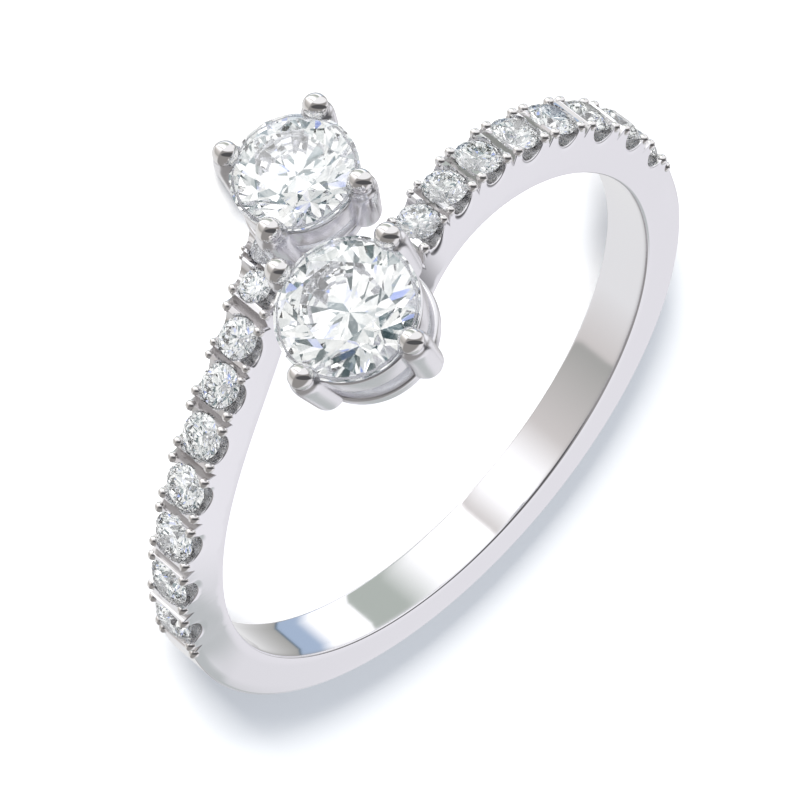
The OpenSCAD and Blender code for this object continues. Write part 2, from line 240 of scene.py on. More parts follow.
def pillars(sizes, angles):
    """Middle angle and half width of what the U cuts leave between neighbouring stones."""
    low, high = (angles + arc(CUT_SHARE * sizes))[:-1], (angles - arc(CUT_SHARE * sizes))[1:]
    return np.stack([(low + high) / 2, (high - low) / 2 / arc(1)], -1)


def end_pillar(angle, size, way):
    """A pillar past the end of a row, where the band goes on."""
    return [[angle + way * arc(size / 2 + 0.6 * PAVE_GAP), VEE_W / 2 + 1.2 * BEAD_R]]


small_pillars = np.vstack([pillars(small_sizes, small_angles),
                           end_pillar(small_angles[-1], small_sizes[-1], 1)])
large_pillars = np.vstack([end_pillar(large_angles[0], large_sizes[0], -1),
                           pillars(large_sizes, large_angles),
                           end_pillar(large_angles[-1], large_sizes[-1], 1)])
print("row to the small stone:", np.round(small_angles, 1))
print("row to the large stone:", np.round(large_angles, 1))

# %% [markdown]
# ## Mesh helpers
# Every new piece is a grid or a turned profile worked out as whole arrays. A modifier stack could
# do the same, but arrays keep each formula in sight, and each mesh closes on itself.

# %% Turn arrays into Blender meshes
def grid_faces(rows, columns, wrap_rows=False, wrap_columns=False):
    """Quads between neighbouring points of a grid whose points are numbered row by row."""
    i = np.arange(rows if wrap_rows else rows - 1)[:, None]
    j = np.arange(columns if wrap_columns else columns - 1)[None, :]
    i2, j2 = (i + 1) % rows, (j + 1) % columns
    corners = (i * columns + j, i * columns + j2, i2 * columns + j2, i2 * columns + j)
    return np.stack(np.broadcast_arrays(*corners), -1).reshape(-1, 4)


def build(name, points, faces, slot, sharp=None):
    """Makes one piece at the origin from points in the ring frame and lists of corner numbers."""
    mesh = bpy.data.meshes.new(name)
    mesh.from_pydata(to_rest(points).tolist(), [], [list(map(int, f)) for f in faces])
    mesh.validate()
    mesh.shade_smooth()
    if sharp is not None:
        mesh.set_sharp_from_angle(angle=float(np.radians(sharp)))
    piece = bpy.data.objects.new(name, mesh)
    bpy.context.scene.collection.objects.link(piece)
    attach(piece, "root")
    return piece


def merge(parts):
    """Joins several (points, faces) pairs into one, shifting each part's corner numbers."""
    points, faces, base = [], [], 0
    for p, f in parts:
        points.append(p)
        faces += [[int(c) + base for c in face] for face in f]
        base += len(p)
    return np.concatenate(points), faces


print("mesh helpers ready")

# %% [markdown]
# ## Turned shapes
# A goldsmith turns wax wires and balls on a small lathe. Blender's Spin or Screw could do it, but
# turning a profile in numpy closes the poles with one point each and needs no clean-up after.

# %% Turn a profile about an axis
def lathe(profile, steps):
    """Turns a profile (radius, height) that starts and ends on the axis; the ends become poles."""
    r, z = np.asarray(profile)[1:-1].T
    a = np.linspace(0, 2 * np.pi, steps, endpoint=False)
    ring = np.stack([np.outer(r, np.cos(a)), np.outer(r, np.sin(a)), np.outer(z, np.ones(steps))], -1)
    points = np.vstack([ring.reshape(-1, 3), [[0, 0, profile[0][1]], [0, 0, profile[-1][1]]]])
    n, last = len(r) * steps, (len(r) - 1) * steps
    faces = grid_faces(len(r), steps, wrap_columns=True).tolist()
    j = np.arange(steps)
    faces += np.stack([j * 0 + n, (j + 1) % steps, j], -1).tolist()
    faces += np.stack([j * 0 + n + 1, last + j, last + (j + 1) % steps], -1).tolist()
    return points, faces


def hoop_of(profile, steps):
    """Turns a closed profile that stays off the axis, listed anticlockwise, into a ring."""
    r, z = np.asarray(profile).T
    a = np.linspace(0, 2 * np.pi, steps, endpoint=False)
    ring = np.stack([np.outer(np.cos(a), r), np.outer(np.sin(a), r), np.outer(np.ones(steps), z)], -1)
    return ring.reshape(-1, 3), grid_faces(steps, len(r), True, True)[:, ::-1].tolist()


def rounded_box(low_r, high_r, low_z, high_z, corner, arc_points=5):
    """Outline of a rectangle with quarter circles at its corners, anticlockwise."""
    a = np.radians(np.linspace(0, 90, arc_points))
    out = []
    centres = ((high_r - corner, high_z - corner), (low_r + corner, high_z - corner),
               (low_r + corner, low_z + corner), (high_r - corner, low_z + corner))
    for k, (cx, cz) in enumerate(centres):
        b = a + k * np.pi / 2
        out.append(np.stack([cx + corner * np.cos(b), cz + corner * np.sin(b)], -1))
    return np.concatenate(out)


print("turned shapes ready")

# %% [markdown]
# ## Polished white gold
# Rhodium plated gold is a mirror with a faint cool tint. A plain metallic shader would look like
# computer chrome, so a small node group adds what a polishing wheel leaves: fine hairlines in
# the gloss and a very shallow waviness. The group only puts out a roughness and a normal.

# %% Node group for the polishing wheel's marks
def add(nodes, *kinds):
    """New shader nodes, one for each short kind name, such as TexNoise or Mix."""
    return [nodes.new("ShaderNode" + kind) for kind in kinds]


def polish_group():
    """Hairlines: stretched noise sets the roughness; a second, soft noise bends the normal."""
    g = bpy.data.node_groups.new("polishing_marks", "ShaderNodeTree")
    start = {"Gloss Low": 0.03, "Gloss High": 0.09, "Mark Scale": 900.0, "Wave": 0.05}
    for label, value in start.items():
        s = g.interface.new_socket(name=label, in_out="INPUT", socket_type="NodeSocketFloat")
        s.default_value = value
    g.interface.new_socket(name="Roughness", in_out="OUTPUT", socket_type="NodeSocketFloat")
    g.interface.new_socket(name="Normal", in_out="OUTPUT", socket_type="NodeSocketVector")
    n, link = g.nodes, g.links.new
    inside, out = n.new("NodeGroupInput"), n.new("NodeGroupOutput")
    where, stretch, marks, dust = add(n, "TexCoord", "Mapping", "TexNoise", "TexNoise")
    to_gloss, bump = add(n, "MapRange", "Bump")
    stretch.inputs["Scale"].default_value = (1.0, 1.0, 6.0)
    marks.inputs["Detail"].default_value = 4.0
    dust.inputs["Scale"].default_value = 260.0
    bump.inputs["Distance"].default_value = 0.00002
    link(where.outputs["Object"], stretch.inputs["Vector"])
    link(stretch.outputs["Vector"], marks.inputs["Vector"])
    link(where.outputs["Object"], dust.inputs["Vector"])
    link(inside.outputs["Mark Scale"], marks.inputs["Scale"])
    link(marks.outputs["Fac"], to_gloss.inputs["Value"])
    link(inside.outputs["Gloss Low"], to_gloss.inputs["To Min"])
    link(inside.outputs["Gloss High"], to_gloss.inputs["To Max"])
    link(dust.outputs["Fac"], bump.inputs["Height"])
    link(inside.outputs["Wave"], bump.inputs["Strength"])
    link(to_gloss.outputs["Result"], out.inputs["Roughness"])
    link(bump.outputs["Normal"], out.inputs["Normal"])
    return g


POLISH = polish_group()
print("polishing marks group has", len(POLISH.nodes), "nodes")

# %% [markdown]
# ## Four versions of one metal
# The whole ring is one alloy, but its finish differs: the walls come from the wheel, the limbs of
# the baskets are hard to reach and stay satin, the balls are burnished with a hard steel tool,
# and the cuts around the small stones are left rougher, as the cutter made them. One function
# makes all four, so they stay one metal and only the gloss, the marks and the depth of the tone
# change. The deeper, greyer tone in the cuts is painted shade for the hollows, not the metal's colour.

# %% White gold in four finishes, the cuts' one with painted shade
def white_gold(name, colour, low, high, scale, wave):
    """Metallic Principled shader with the polishing marks on its roughness and normal."""
    m = bpy.data.materials.new(name)
    m.use_nodes = True
    nodes, link = m.node_tree.nodes, m.node_tree.links.new
    shader = nodes["Principled BSDF"]
    shader.inputs["Base Color"].default_value = (*colour, 1)
    shader.inputs["Metallic"].default_value = 1.0
    marks, = add(nodes, "Group")
    marks.node_tree = POLISH
    for label, value in {"Gloss Low": low, "Gloss High": high, "Mark Scale": scale, "Wave": wave}.items():
        marks.inputs[label].default_value = value
    link(marks.outputs["Roughness"], shader.inputs["Roughness"])
    link(marks.outputs["Normal"], shader.inputs["Normal"])
    return m


wall_gold = white_gold("polished_white_gold", (0.93, 0.925, 0.955), 0.04, 0.10, 700.0, 0.03)
limb_gold = white_gold("satin_limbs", (0.92, 0.915, 0.94), 0.20, 0.28, 1400.0, 0.02)
# The cuts get a rougher gloss, and a darker colour that is painted shade for their hollows.
cut_gold_painted_shade = white_gold("cut_seats_painted_shade", (0.70, 0.69, 0.695), 0.12, 0.26, 2200.0, 0.10)
ball_gold = white_gold("burnished_balls", (0.90, 0.885, 0.88), 0.03, 0.06, 1400.0, 0.02)
print("metals:", wall_gold.name, limb_gold.name, cut_gold_painted_shade.name, ball_gold.name)

# %% [markdown]
# ## Diamond
# A brilliant is clear; all its white and dark comes from light bent and thrown back inside. So
# the material is plain glass with diamond's index of 2.417, and the cut does the work. A soft
# noise on the colour stands for the faint growth tint a real stone has.

# %% Clear diamond
def diamond_material():
    """Principled glass: transmission 1, index 2.417, nearly smooth, with a barely tinted colour."""
    m = bpy.data.materials.new("clear_diamond")
    m.use_nodes = True
    nodes, link = m.node_tree.nodes, m.node_tree.links.new
    shader = nodes["Principled BSDF"]
    shader.inputs["Transmission Weight"].default_value = 1.0
    shader.inputs["IOR"].default_value = 2.417
    shader.inputs["Roughness"].default_value = 0.0
    where, cloud, tint = add(nodes, "TexCoord", "TexNoise", "Mix")
    tint.data_type = "RGBA"
    cloud.inputs["Scale"].default_value = 420.0
    tint.inputs["A"].default_value = (0.985, 0.99, 1.0, 1)
    tint.inputs["B"].default_value = (1.0, 1.0, 0.99, 1)
    link(where.outputs["Object"], cloud.inputs["Vector"])
    link(cloud.outputs["Fac"], tint.inputs["Factor"])
    link(tint.outputs["Result"], shader.inputs["Base Color"])
    return m


diamond = diamond_material()
print("stone material:", diamond.name)

# %% [markdown]
# ## Round brilliants
# A brilliant has a table, 8 stars, 8 kites and 16 upper halves above the girdle, and 16 lower
# halves and 8 mains below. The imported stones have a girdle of 16 flats. Here each half facet
# keeps its plane but ends on a true circle, which gives the real scalloped girdle edge.

# %% Cut a brilliant
def brilliant(d, bend=4):
    """Facet corners from the angles of crown and pavilion; girdle points lie on each half's plane."""
    r, top = d / 2, d * GIRDLE_SHARE / 2
    rt = r * TABLE_SHARE
    star = rt * np.cos(np.pi / 8) + 0.5 * (r - rt * np.cos(np.pi / 8))
    low, culet = r * 0.23, -top - r * PAVILION
    k = np.arange(8)
    at, mid = np.radians(45 * k), np.radians(45 * k + 22.5)

    def circle(radius, turn, height):
        """Points at a radius and some turns, all at one height."""
        return np.stack([radius * np.cos(turn), radius * np.sin(turn), 0 * turn + height], -1)

    table = circle(rt, at, top + (r - rt) * CROWN)
    stars = circle(star, mid, top + (r - star * np.cos(np.pi / 8)) * CROWN)
    lows = circle(low, mid, culet + low * np.cos(np.pi / 8) * PAVILION)
    n = 16 * bend
    turn = 2 * np.pi * np.arange(n) / n
    sector = np.arange(n) // bend
    edge = circle(r, turn, 0.0)[:, :2]

    def on_plane(inner, level):
        """Heights of the girdle circle on the planes through an inner corner and two girdle corners."""
        g0 = circle(r, 2 * np.pi * sector / 16, level)
        g1 = circle(r, 2 * np.pi * (sector + 1) / 16, level)
        normal = np.cross(g1 - g0, inner[sector // 2] - g0)
        return level - ((edge - g0[:, :2]) * normal[:, :2]).sum(1) / normal[:, 2]

    upper = np.column_stack([edge, on_plane(stars, top)])
    lower = np.column_stack([edge, on_plane(lows, -top)])
    points = np.vstack([table, stars, upper, lower, lows, [[0, 0, culet]]])
    u, w, q = 16, 16 + n, 16 + 2 * n
    faces = [list(range(8))]
    faces += [[i, 8 + i, (i + 1) % 8] for i in range(8)]
    faces += [[i, 8 + (i + 7) % 8, u + 2 * bend * i, 8 + i] for i in range(8)]
    faces += [[8 + h // 2, *[u + (h * bend + t) % n for t in range(bend + 1)]] for h in range(16)]
    faces += [[u + i, w + i, w + (i + 1) % n, u + (i + 1) % n] for i in range(n)]
    faces += [[q + h // 2, *[w + (h * bend + t) % n for t in range(bend, -1, -1)]] for h in range(16)]
    faces += [[q + 8, q + i, w + 2 * bend * i, q + (i + 7) % 8] for i in range(8)]
    return points, faces


print("a brilliant has", len(brilliant(LARGE_D)[1]), "faces, its girdle's quads included")

# %% [markdown]
# ## Setting the stones
# Each stone is cut flat, turned about its own axis, lifted to its girdle height and then stood on
# the hoop. Instances would save memory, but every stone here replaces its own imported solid, so
# each one gets a mesh of its own with its place inside it.

# %% Set every stone on the ring
def set_stone(name, d, angle, side, height, turn, node, over=False):
    """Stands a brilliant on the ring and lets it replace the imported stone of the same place."""
    points, faces = brilliant(d, 4 if d > 2 else 2)
    points = points @ turn_matrix(2, turn).T + [0, 0, height]
    points = on_ring(points, angle, side)
    points = points * [-1, 1, -1] if over else points
    stone = build(name, points, faces, "diamond")
    stone.data.shade_flat()
    stone.data.materials.append(diamond)
    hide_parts(node)
    return stone


set_stone("large_brilliant", LARGE_D, large_angle, large_side, large_girdle, LARGE_TURN, "large_stone")
set_stone("small_brilliant", SMALL_D, small_angle, small_side, small_girdle, SMALL_TURN, "small_stone")


def row_height(angle):
    """Girdle radius and sideways place of a pave stone at an angle of the row to the small stone."""
    r = top_radius(angle)
    return r - PAVE_SINK, shoulder_middle(r * np.sin(np.radians(angle)), -1)


TWIST = 7.0
ROWS = {"small": (small_sizes, small_angles, False), "large": (large_sizes, large_angles, True)}
for label, (sizes, angles, over) in ROWS.items():
    for i, (size, angle) in enumerate(zip(sizes, angles)):
        height, side = row_height(angle)
        name, node = f"pave_to_{label}_{i + 1}", f"row_to_{label}_{i + 1}"
        set_stone(name, size, angle, side, height, TWIST * i, node, over)
print("stones set:", 2 + len(small_sizes) + len(large_sizes))

# %% [markdown]
# ## The band
# The hoop is one surface: a closed cross-section carried around the finger. Its top is a height
# field, so the U cuts, the cone seats and the V cuts in the pillars are only rules for the
# lowest height. Booleans could carve them, but they leave hard slivers that catch light badly.

# %% Height of the metal's top, with cuts and seats
SEAT_GAP, SEAT_EDGE, EDGE_RISE, CUT_LIFT = 0.02, 0.03, 0.6, 0.02


def vee_half(half):
    """Half width of a pillar's V cut: narrower where the pillar is thin."""
    return np.minimum(VEE_W / 2, 0.45 * half)


def row_relief(angle, z, sizes, angles, pillars):
    """Top radius of one shoulder: the lowest of band, U circles, V planes and stone cones."""
    top = top_radius(angle)
    height = top.copy() + 0 * z
    for p, half in pillars:
        s = np.abs(np.radians(angle - p) * pave_r)
        height = np.minimum(height, top + (s - vee_half(half)) * VEE_DEPTH / (VEE_W / 2))
    for d, a in zip(sizes, angles):
        s = np.radians(angle - a) * pave_r
        girdle, middle = row_height(a)
        r = d * CUT_SHARE
        inside = np.abs(s) < r
        u = girdle + PAVE_SINK - CUT_LIFT - np.sqrt(np.clip(r * r - s * s, 0, None))
        height = np.where(inside, np.minimum(height, u), height)
        rho = np.hypot(s, z - middle)
        seat_r = d / 2 + SEAT_GAP
        cone = girdle - d * GIRDLE_SHARE / 2 - SEAT_GAP - (seat_r - rho) * PAVILION
        ramp = cone + np.clip((rho - seat_r) / SEAT_EDGE, 0, 1) * EDGE_RISE
        height = np.where(rho < seat_r + SEAT_EDGE, np.minimum(height, ramp), height)
    return height


print("deepest V cut in mm:", VEE_DEPTH)

# %% [markdown]
# ## Where the band is sampled
# A height field needs points exactly on its creases, or the creases turn into saw teeth. So the
# cross-sections stand at even steps, and more of them stand on each wall of a U cut and on the
# edges of each V. An even but much finer grid would also work and cost ten times the faces.

# %% Angles of the cross-sections
END_IN, EVEN_ROW, EVEN_BACK, LEAST_STEP = np.degrees(1.25 / 9.0), 420, 150, 0.03


def band_columns():
    """Angles of the cross-sections: even steps, with extra ones on every U wall and V edge."""
    first, last = small_angle + END_IN, 360 + large_angle - END_IN
    stop_small, stop_large = small_pillars[-1, 0] + 2, 360 - large_pillars[-1, 0] - 2
    base = [np.linspace(first, stop_small, EVEN_ROW), np.linspace(stop_small, stop_large, EVEN_BACK),
            np.linspace(stop_large, last, EVEN_ROW)]
    t = np.linspace(-90, 90, 15)
    for sizes, angles, sign in ((small_sizes, small_angles, 1), (large_sizes, large_angles, -1)):
        for d, a in zip(sizes, angles):
            share = np.concatenate([np.sin(np.radians(t)), [-1.01, 1.01]])
            base.append((360 + sign * (a + arc(d * CUT_SHARE * share))) % 360)
    for pillars, sign in ((small_pillars, 1), (large_pillars, -1)):
        for p, half in pillars:
            base.append((360 + sign * (p + arc(vee_half(half) * np.array([-1, 0, 1])))) % 360)
    every = np.sort(np.concatenate(base))
    every = every[(every >= first) & (every <= last)]
    return every[np.concatenate([[True], np.diff(every) > LEAST_STEP])]


columns = band_columns()
print("cross-sections around the hoop:", len(columns))

# %% [markdown]
# ## The cross-section
# The cross-section starts on the finger side, where a comfort edge rounds the corner, climbs one
# wall, crosses the top and comes down the other wall. Close to the stones the walls stop at the
# U cuts by themselves, because they only climb as high as the height field allows. This cell
# holds the measures of the cross-section at every angle, as arrays with one entry per column.

# %% Middle, half width and top of every cross-section
COMFORT, SOFT, SOFTER, TOP_HALF, FADE = 0.08, 0.035, 0.08, 0.68, 16
FIRST_TOP, TOP_ROWS = 18, 37
signed = np.where(columns > 180, columns - 360, columns)
plain_from = np.where(signed > 0, small_pillars[-1, 0], large_pillars[-1, 0])
in_row = 1 - np.clip((np.abs(signed) - plain_from) / FADE, 0, 1)
lean_in = (BAND_W / 2 - TOP_HALF) * in_row ** 2 * (3 - 2 * in_row)
is_back = (columns > 90) & (columns < 270)
column_side = np.where(columns > 180, 1, -1)


def wall_half(radius):
    """Half width of the band at a radius: the walls lean in towards the top where pave is set."""
    low = HOLE_R + COMFORT
    return BAND_W / 2 - lean_in * np.clip((radius - low) / (top_radius(columns) - low), 0, 1)


def middle(radius):
    """Sideways middle of the band at a radius: the swing in front, zero behind."""
    return np.where(is_back, 0.0, shoulder_middle(radius * np.sin(np.radians(columns)), column_side))


def relief(v):
    """Top radius at a distance v across the band, from the row that the column belongs to."""
    plain = top_radius(columns)
    z = middle(plain) + v
    one = row_relief(signed, z, small_sizes, small_angles, small_pillars)
    other = row_relief(-signed, -z, large_sizes, large_angles, large_pillars)
    return np.where(is_back, plain, np.where(columns > 180, other, one))


print("walls lean in by", round(float(lean_in.max()), 3), "mm at the pave")

# %% [markdown]
# ## The band's surface
# Now the profile is carried round the finger. Sweeping one fixed profile along a curve would not
# do, since every cross-section has its own top. So each row of the grid is one place on the
# profile, such as the comfort edge or a stripe of the top, worked out for all angles at once.

# %% Carry the cross-section around
def band_surface():
    """Grid of cross-sections: row parameter round the profile, column parameter round the finger."""
    half, comfort, soft = BAND_W / 2, COMFORT, SOFT + SOFTER * (1 - in_row)
    rows = []
    inner_r = np.full(len(columns), HOLE_R)
    for v in np.linspace(-(half - comfort), half - comfort, 7):
        rows.append((inner_r, v))
    for a in np.radians([22.5, 45, 67.5, 90]):
        rows.append((inner_r + comfort * (1 - np.cos(a)), half - comfort * (1 - np.sin(a))))
    rim = wall_half(top_radius(columns)) - soft
    edge = {1: relief(rim), -1: relief(-rim)}
    rim = {s: wall_half(edge[s]) - soft for s in edge}
    top_rows = []
    for t in np.linspace(0, 1, TOP_ROWS):
        v = rim[1] * (1 - t) - rim[-1] * t
        top_rows.append((relief(v), v))
    for t in np.linspace(0.2, 1, 5):
        r = (HOLE_R + comfort) * (1 - t) + (edge[1] - soft) * t
        rows.append((r, wall_half(r)))
    for a in np.radians([30, 60]):
        rows.append((edge[1] - soft * (1 - np.sin(a)), rim[1] + soft * np.cos(a)))
    rows += top_rows
    for a in np.radians([60, 30, 0]):
        rows.append((edge[-1] - soft * (1 - np.sin(a)), -rim[-1] - soft * np.cos(a)))
    for t in np.linspace(0.8, 0, 5):
        r = (HOLE_R + comfort) * (1 - t) + (edge[-1] - soft) * t
        rows.append((r, -wall_half(r)))
    for a in np.radians([67.5, 45, 22.5]):
        rows.append((inner_r + comfort * (1 - np.cos(a)), -half + comfort * (1 - np.sin(a))))
    radius = np.array([r + 0 * inner_r for r, _ in rows])
    across = np.array([v + 0 * inner_r for _, v in rows])
    angle = np.radians(columns)[None, :]
    z = np.array([middle(r) for r in radius]) + across
    points = np.stack([radius * np.sin(angle), -radius * np.cos(angle), z], -1)
    n, m = points.shape[:2]
    faces = grid_faces(n, m, wrap_rows=True)[:, ::-1].tolist()
    flat = points.reshape(-1, 3)
    ends = np.array([flat[np.arange(n) * m].mean(0), flat[np.arange(n) * m + m - 1].mean(0)])
    i = np.arange(n)
    faces += np.stack([0 * i + n * m, (i + 1) % n * m, i * m], -1).tolist()
    faces += np.stack([0 * i + n * m + 1, i * m + m - 1, (i + 1) % n * m + m - 1], -1).tolist()
    return np.vstack([flat, ends]), faces


band_points, band_faces = band_surface()
band = build("wave_band", band_points, band_faces, "white_gold", sharp=38)
band.data.materials.append(wall_gold)
band.data.materials.append(cut_gold_painted_shade)
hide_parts("metal")
print("band faces:", len(band_faces))

# %% [markdown]
# ## Rougher metal and painted shade inside the cuts
# No wheel reaches into the U cuts, the V cuts and the seats, so the metal there stays rougher, and
# its colour is darkened as painted shade for the hollows. Painting it by hand or by a texture would
# be slow; the grid already knows how far each face of the top lies under the plain band, so that
# depth chooses the material.

# %% Give the cuts their rougher finish and painted shade
CUT_DEPTH = 0.05
reach = np.hypot(band_points[:, 0], band_points[:, 1])
full = top_radius(np.degrees(np.arctan2(band_points[:, 0], -band_points[:, 1])))
corners = np.array([face + face[-1:] * (4 - len(face)) for face in band_faces])
row_of = corners // len(columns)
is_top = (row_of.mean(1) > FIRST_TOP - 0.5) & (row_of.mean(1) < FIRST_TOP + TOP_ROWS + 0.5)
is_cut = is_top & (np.ptp(row_of, axis=1) < 3) & ((full - reach)[corners].mean(1) > CUT_DEPTH)
# Faces deeper than CUT_DEPTH take the rougher material with painted shade.
band.data.polygons.foreach_set("material_index", is_cut.astype(int))
print("faces inside the cuts:", int(is_cut.sum()))

# %% [markdown]
# ## Beads that hold the pave
# After the stones are in, the setter pushes up two little grains on each side of every pillar
# and rounds them. They repeat many times, so each is a small turned dome with few faces.

# %% Beads on the pillars
BEAD_IN, BEAD_SINK, BEAD_MOST = 0.5, 0.4, 0.55


def bead_rows():
    """Four grains for each pillar, midway between its V cut and the U cuts beside it."""
    a = np.radians(np.linspace(-90, 90, 7))
    dome, faces = lathe(np.stack([np.cos(a), np.sin(a)], -1), 12)
    parts = []
    for pillars, over in ((small_pillars, False), (large_pillars, True)):
        for p, half in pillars:
            r = min(BEAD_R, BEAD_MOST * half)
            for way in (-1, 1):
                for wall in (-1, 1):
                    angle = p + way * arc((vee_half(half) + half) / 2)
                    height, side = row_height(angle)
                    place = [0, wall * (TOP_HALF - BEAD_IN * r), height + PAVE_SINK - BEAD_SINK * r]
                    bead = on_ring(r * dome + place, angle, side)
                    parts.append((bead * [-1, 1, -1] if over else bead, faces))
    return merge(parts)


beads = build("pave_beads", *bead_rows(), "white_gold")
beads.data.materials.append(ball_gold)
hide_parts("metal")
print("bead faces:", len(beads.data.polygons))

# %% [markdown]
# ## Baskets
# Each main stone stands in a basket: four prongs that end in balls, an upper rail just under the
# girdle and a lower rail near the finger. All are turned shapes, as a caster's wax wires are.

# %% Prongs and rails
NECK_DROP, NECK_SHARE, NECK_FADE = 0.12, 0.30, 0.12
UPPER_W, UPPER_H, UPPER_DROP, UPPER_TAPER = 0.34, 0.8, 0.25, 0.06
LOWER_W, LOWER_H, LOWER_LIFT, RAIL_STEPS = 0.45, 0.4, 1, 96


def arc_points(radius, height, start, stop, count):
    """Points (radius, height) of a circle on the axis, between two angles in degrees."""
    a = np.radians(np.linspace(start, stop, count))
    return np.stack([radius * np.cos(a), height + radius * np.sin(a)], -1)


def prong(height):
    """Turned peg: round foot, then a limb whose radius fades in below the ball, then the ball."""
    foot = arc_points(FOOT_R, 0, -90, 0, 10)
    below = np.concatenate([np.linspace(height - 0.1, 1.0, 6), np.linspace(0.9, NECK_DROP, 14)])
    thin = NECK_SHARE * np.exp(-(below - NECK_DROP) / NECK_FADE)
    limb = np.stack([FOOT_R * (1 - thin), height - below], -1)
    ball = arc_points(TIP_R, height, -np.degrees(np.arcsin(NECK_DROP / TIP_R)), 90, 18)
    return lathe(np.vstack([foot, limb, ball[1:]]), 48)


def basket(name, d, girdle, turn, angle, side):
    """Four prongs at right angles, leaning inward at the foot, and two turned rails."""
    tip, rise = d / 2 + TIP_OUT, girdle + TIP_RISE - HOLE_R - FOOT_LIFT
    lean = np.arctan2(PRONG_LEAN, rise)
    points, faces = prong(np.hypot(PRONG_LEAN, rise))
    c, s = np.cos(lean), np.sin(lean)
    tilt = np.array([[c, 0, s], [0, 1, 0], [-s, 0, c]])
    leaning = points @ tilt.T + [tip - PRONG_LEAN, 0, HOLE_R + FOOT_LIFT]
    parts = [(leaning @ turn_matrix(2, turn + 90 * k).T, faces) for k in range(4)]
    above = [points[list(f), 2].min() > np.hypot(PRONG_LEAN, rise) - NECK_DROP - 0.001 for f in faces]
    r, z = d / 2 - SEAT_GAP, girdle - UPPER_DROP
    upper = rounded_box(r - UPPER_W, r, z - UPPER_H, z, 0.07)
    upper[:, 0] -= (z - upper[:, 1]) / UPPER_H * UPPER_TAPER
    r, z = tip - PRONG_LEAN, HOLE_R + LOWER_LIFT
    lower = rounded_box(r - LOWER_W, r, z, z + LOWER_H, 0.09)
    parts += [hoop_of(upper, RAIL_STEPS), hoop_of(lower, RAIL_STEPS)]
    points, faces = merge(parts)
    piece = build(name, on_ring(points, angle, side), faces, "white_gold", sharp=60)
    piece.data.materials.append(limb_gold)
    piece.data.materials.append(ball_gold)
    polished = np.zeros(len(faces), int)
    polished[:4 * len(above)] = above * 4
    piece.data.polygons.foreach_set("material_index", polished)
    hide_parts("metal")
    return piece


basket("large_basket", LARGE_D, large_girdle, LARGE_TURN, large_angle, large_side)
basket("small_basket", SMALL_D, small_girdle, SMALL_TURN, small_angle, small_side)
print("two baskets with four prongs each")

# %% [markdown]
# ## The bridge
# Under the stones a low bar joins the two baskets. It is the same cross-section idea: a rounded
# rectangle carried from one basket to the other, following the finger's curve.

# %% Bar between the baskets
BAR_HALF, BAR_TALL, BAR_EDGE, BAR_FROM, BAR_TO = 0.85, 1.32, 0.12, 0.27, 0.73


def bridge_surface():
    """Rounded rectangle swept along the straight line from basket to basket, bent round the finger."""
    t = np.linspace(BAR_FROM, BAR_TO, 12)[:, None]
    outline = rounded_box(-BAR_HALF, BAR_HALF, HOLE_R + 0.01, HOLE_R + BAR_TALL, BAR_EDGE)
    along = np.sin(np.radians(small_angle)) * (1 - t) + np.sin(np.radians(large_angle)) * t
    x = HOLE_R * along - outline[None, :, 0] * np.cos(PAIR_LEAN)
    z = small_side * (1 - t) + large_side * t + outline[None, :, 0] * np.sin(PAIR_LEAN)
    y = -np.sqrt(outline[None, :, 1] ** 2 - x ** 2)
    points = np.stack([x, y, z], -1)
    n, m = points.shape[:2]
    flat = points.reshape(-1, 3)
    faces = grid_faces(n, m, wrap_columns=True).tolist()
    faces += [list(range(m))[::-1], list(range((n - 1) * m, n * m))]
    return flat, faces


bridge = build("bridge_bar", *bridge_surface(), "white_gold", sharp=60)
bridge.data.materials.append(limb_gold)
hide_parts("metal")
print("bridge faces:", len(bridge.data.polygons))

# %% [markdown]
# ## Paper under the ring
# The ring lies on plain pale paper. In a studio the polished hoop throws light back on the paper
# inside it, which burns out to white. Tracing that light is slow and noisy, so the paper glows a
# little there instead. It is also hidden from mirrors and stones, which only see the tent that
# is painted below, so that their picture stays calm and easy to steer.

# %% Pale paper under the ring
GLOW_EDGE, GLOW_FULL, GLOW, FLOOR_HALF = 0.0096, 0.0080, 0.55, 0.6


def paper_material():
    """Matt paper: noise moves the tone between two whites, and a soft disc in the middle glows."""
    m = bpy.data.materials.new("pale_paper")
    m.use_nodes = True
    nodes, link = m.node_tree.nodes, m.node_tree.links.new
    shader = nodes["Principled BSDF"]
    shader.inputs["Roughness"].default_value = 0.9
    shader.inputs["Emission Color"].default_value = (1, 1, 1, 1)
    where, grain, tone, far, glow = add(nodes, "TexCoord", "TexNoise", "Mix", "VectorMath", "MapRange")
    grain.inputs["Scale"].default_value = 4000.0
    tone.data_type = "RGBA"
    tone.inputs["A"].default_value = (0.925, 0.925, 0.93, 1)
    tone.inputs["B"].default_value = (0.935, 0.935, 0.94, 1)
    far.operation, glow.interpolation_type = "LENGTH", "SMOOTHSTEP"
    glow.inputs["From Min"].default_value = GLOW_EDGE
    glow.inputs["From Max"].default_value = GLOW_FULL
    glow.inputs["To Max"].default_value = GLOW
    link(where.outputs["Object"], grain.inputs["Vector"])
    link(grain.outputs["Fac"], tone.inputs["Factor"])
    link(tone.outputs["Result"], shader.inputs["Base Color"])
    link(where.outputs["Object"], far.inputs[0])
    link(far.outputs["Value"], glow.inputs["Value"])
    link(glow.outputs["Result"], shader.inputs["Emission Strength"])
    return m


floor_z = float(cad_low[2])
floor_corners = [(x * FLOOR_HALF, y * FLOOR_HALF, floor_z)
                 for x, y in ((-1, -1), (1, -1), (1, 1), (-1, 1))]
floor_mesh = bpy.data.meshes.new("floor")
floor_mesh.from_pydata(floor_corners, [], [(0, 1, 2, 3)])
floor_mesh.materials.append(paper_material())
floor = bpy.data.objects.new("floor", floor_mesh)
bpy.context.scene.collection.objects.link(floor)
floor.visible_glossy = floor.visible_transmission = False
floor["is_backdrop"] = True
print("floor at", round(floor_z * 1000, 3), "mm")

